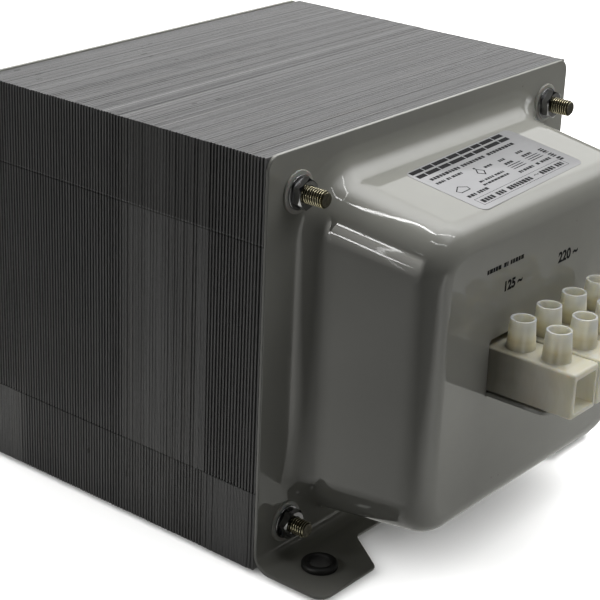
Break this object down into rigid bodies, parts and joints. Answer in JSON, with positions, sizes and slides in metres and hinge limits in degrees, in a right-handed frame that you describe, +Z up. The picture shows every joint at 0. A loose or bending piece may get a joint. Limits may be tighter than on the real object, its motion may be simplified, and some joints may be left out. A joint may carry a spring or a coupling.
{
  "type": "step-down autotransformer",
  "caption": "Floor or bench standing step-down transformer: laminated core clamped between pressed steel end covers, terminal strip in front, bent feet with grommets.",
  "frame": {"origin": "centre of the four fixing holes, at the level the grommets stand on", "axes": "+Z up; the terminal strip faces -Y; +X to the right seen from the front"},
  "size_m": [0.15, 0.2263, 0.1274],
  "materials": {
    "laminations": "varnished stack of electrical steel sheets, dark, edges showing",
    "coil_wrap": "amber insulating wrap",
    "enamel": "high-gloss cream-grey enamel",
    "nylon": "natural nylon, slightly translucent",
    "brass": "drawn brass",
    "screw_steel": "nickel-plated screw",
    "label_foil": null,
    "yellow_zinc": "yellow-passivated zinc on rolled thread",
    "bright_zinc": "bright zinc",
    "insulator": "grey moulded plastic",
    "rubber": "black rubber"
  },
  "bodies": {
    "root": {"core_top_yoke": "laminations", "core_bottom_yoke": "laminations", "core_left_leg": "laminations", "core_right_leg": "laminations", "core_centre_leg": "laminations", "winding": "coil_wrap", "front_cover": "enamel", "back_cover": "enamel", "terminal_strip": "nylon", "terminal_inserts": "brass", "terminal_screws": "screw_steel", "rating_label": "label_foil", "tie_rod_top_left": "yellow_zinc", "tie_rod_top_right": "yellow_zinc", "tie_rod_bottom_left": "yellow_zinc", "tie_rod_bottom_right": "yellow_zinc", "front_nut_top_left": "bright_zinc", "front_nut_top_right": "bright_zinc", "front_nut_bottom_left": "bright_zinc", "front_nut_bottom_right": "bright_zinc", "back_nut_top_left": "bright_zinc", "back_nut_top_right": "bright_zinc", "back_nut_bottom_left": "bright_zinc", "back_nut_bottom_right": "bright_zinc", "front_washer_top_left": "bright_zinc", "front_washer_top_right": "bright_zinc", "front_washer_bottom_left": "bright_zinc", "front_washer_bottom_right": "bright_zinc", "back_washer_top_left": "bright_zinc", "back_washer_top_right": "bright_zinc", "back_washer_bottom_left": "bright_zinc", "back_washer_bottom_right": "bright_zinc", "front_insulator_top_left": "insulator", "front_insulator_top_right": "insulator", "front_insulator_bottom_left": "insulator", "front_insulator_bottom_right": "insulator", "back_insulator_top_left": "insulator", "back_insulator_top_right": "insulator", "back_insulator_bottom_left": "insulator", "back_insulator_bottom_right": "insulator", "grommet_front_left": "rubber", "grommet_front_right": "rubber", "grommet_back_left": "rubber", "grommet_back_right": "rubber"}
  },
  "joints": []
}
